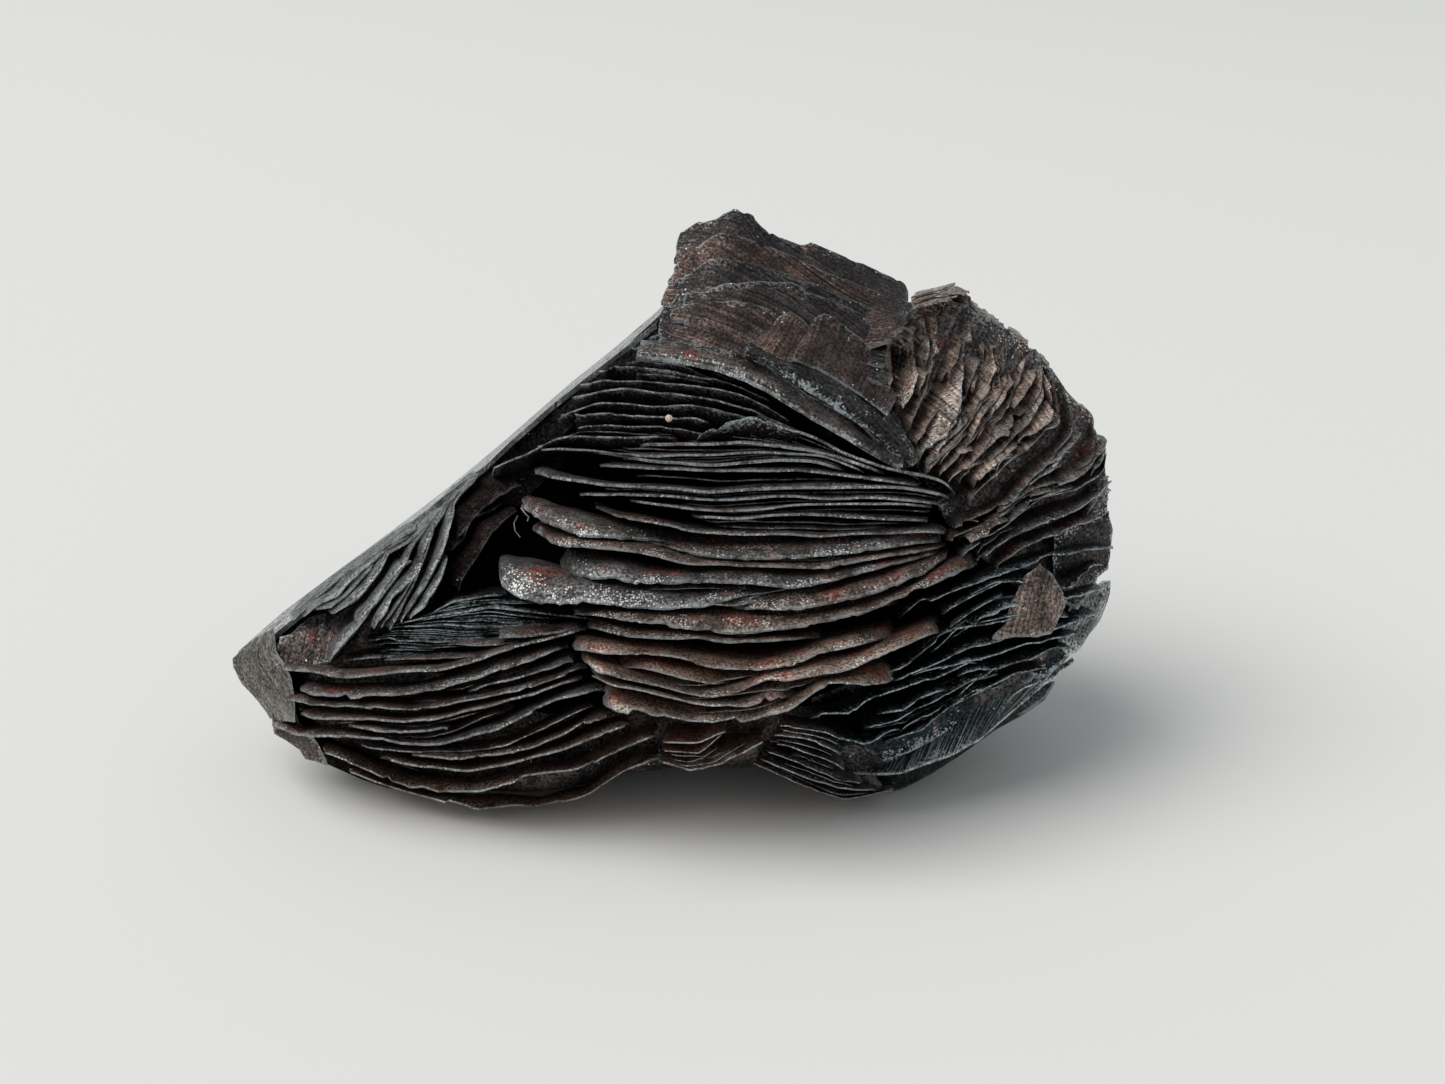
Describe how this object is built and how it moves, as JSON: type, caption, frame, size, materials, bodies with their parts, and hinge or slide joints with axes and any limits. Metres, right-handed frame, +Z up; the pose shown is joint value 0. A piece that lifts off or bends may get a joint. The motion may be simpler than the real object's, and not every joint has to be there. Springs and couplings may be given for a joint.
{
  "type": "specular hematite specimen",
  "caption": "Cluster of thin dark metallic hematite plates stacked in books that lean against each other, a display specimen that rests on its worn foot.",
  "frame": {"origin": "centre of the footprint, on the ground", "axes": "+X along the cluster's length to the viewer's right, +Y away from the viewer, +Z up"},
  "size_m": [0.0718, 0.0418, 0.0438],
  "materials": {
    "hematite": "dark brown-black submetallic plates with silvery sparkling rims and rusty red patches",
    "hematite_rim": "silvery grey striated crystal face",
    "dust": "a pale sand grain and a fibre of lint"
  },
  "bodies": {
    "root": {"specular_hematite": "hematite"}
  },
  "joints": []
}
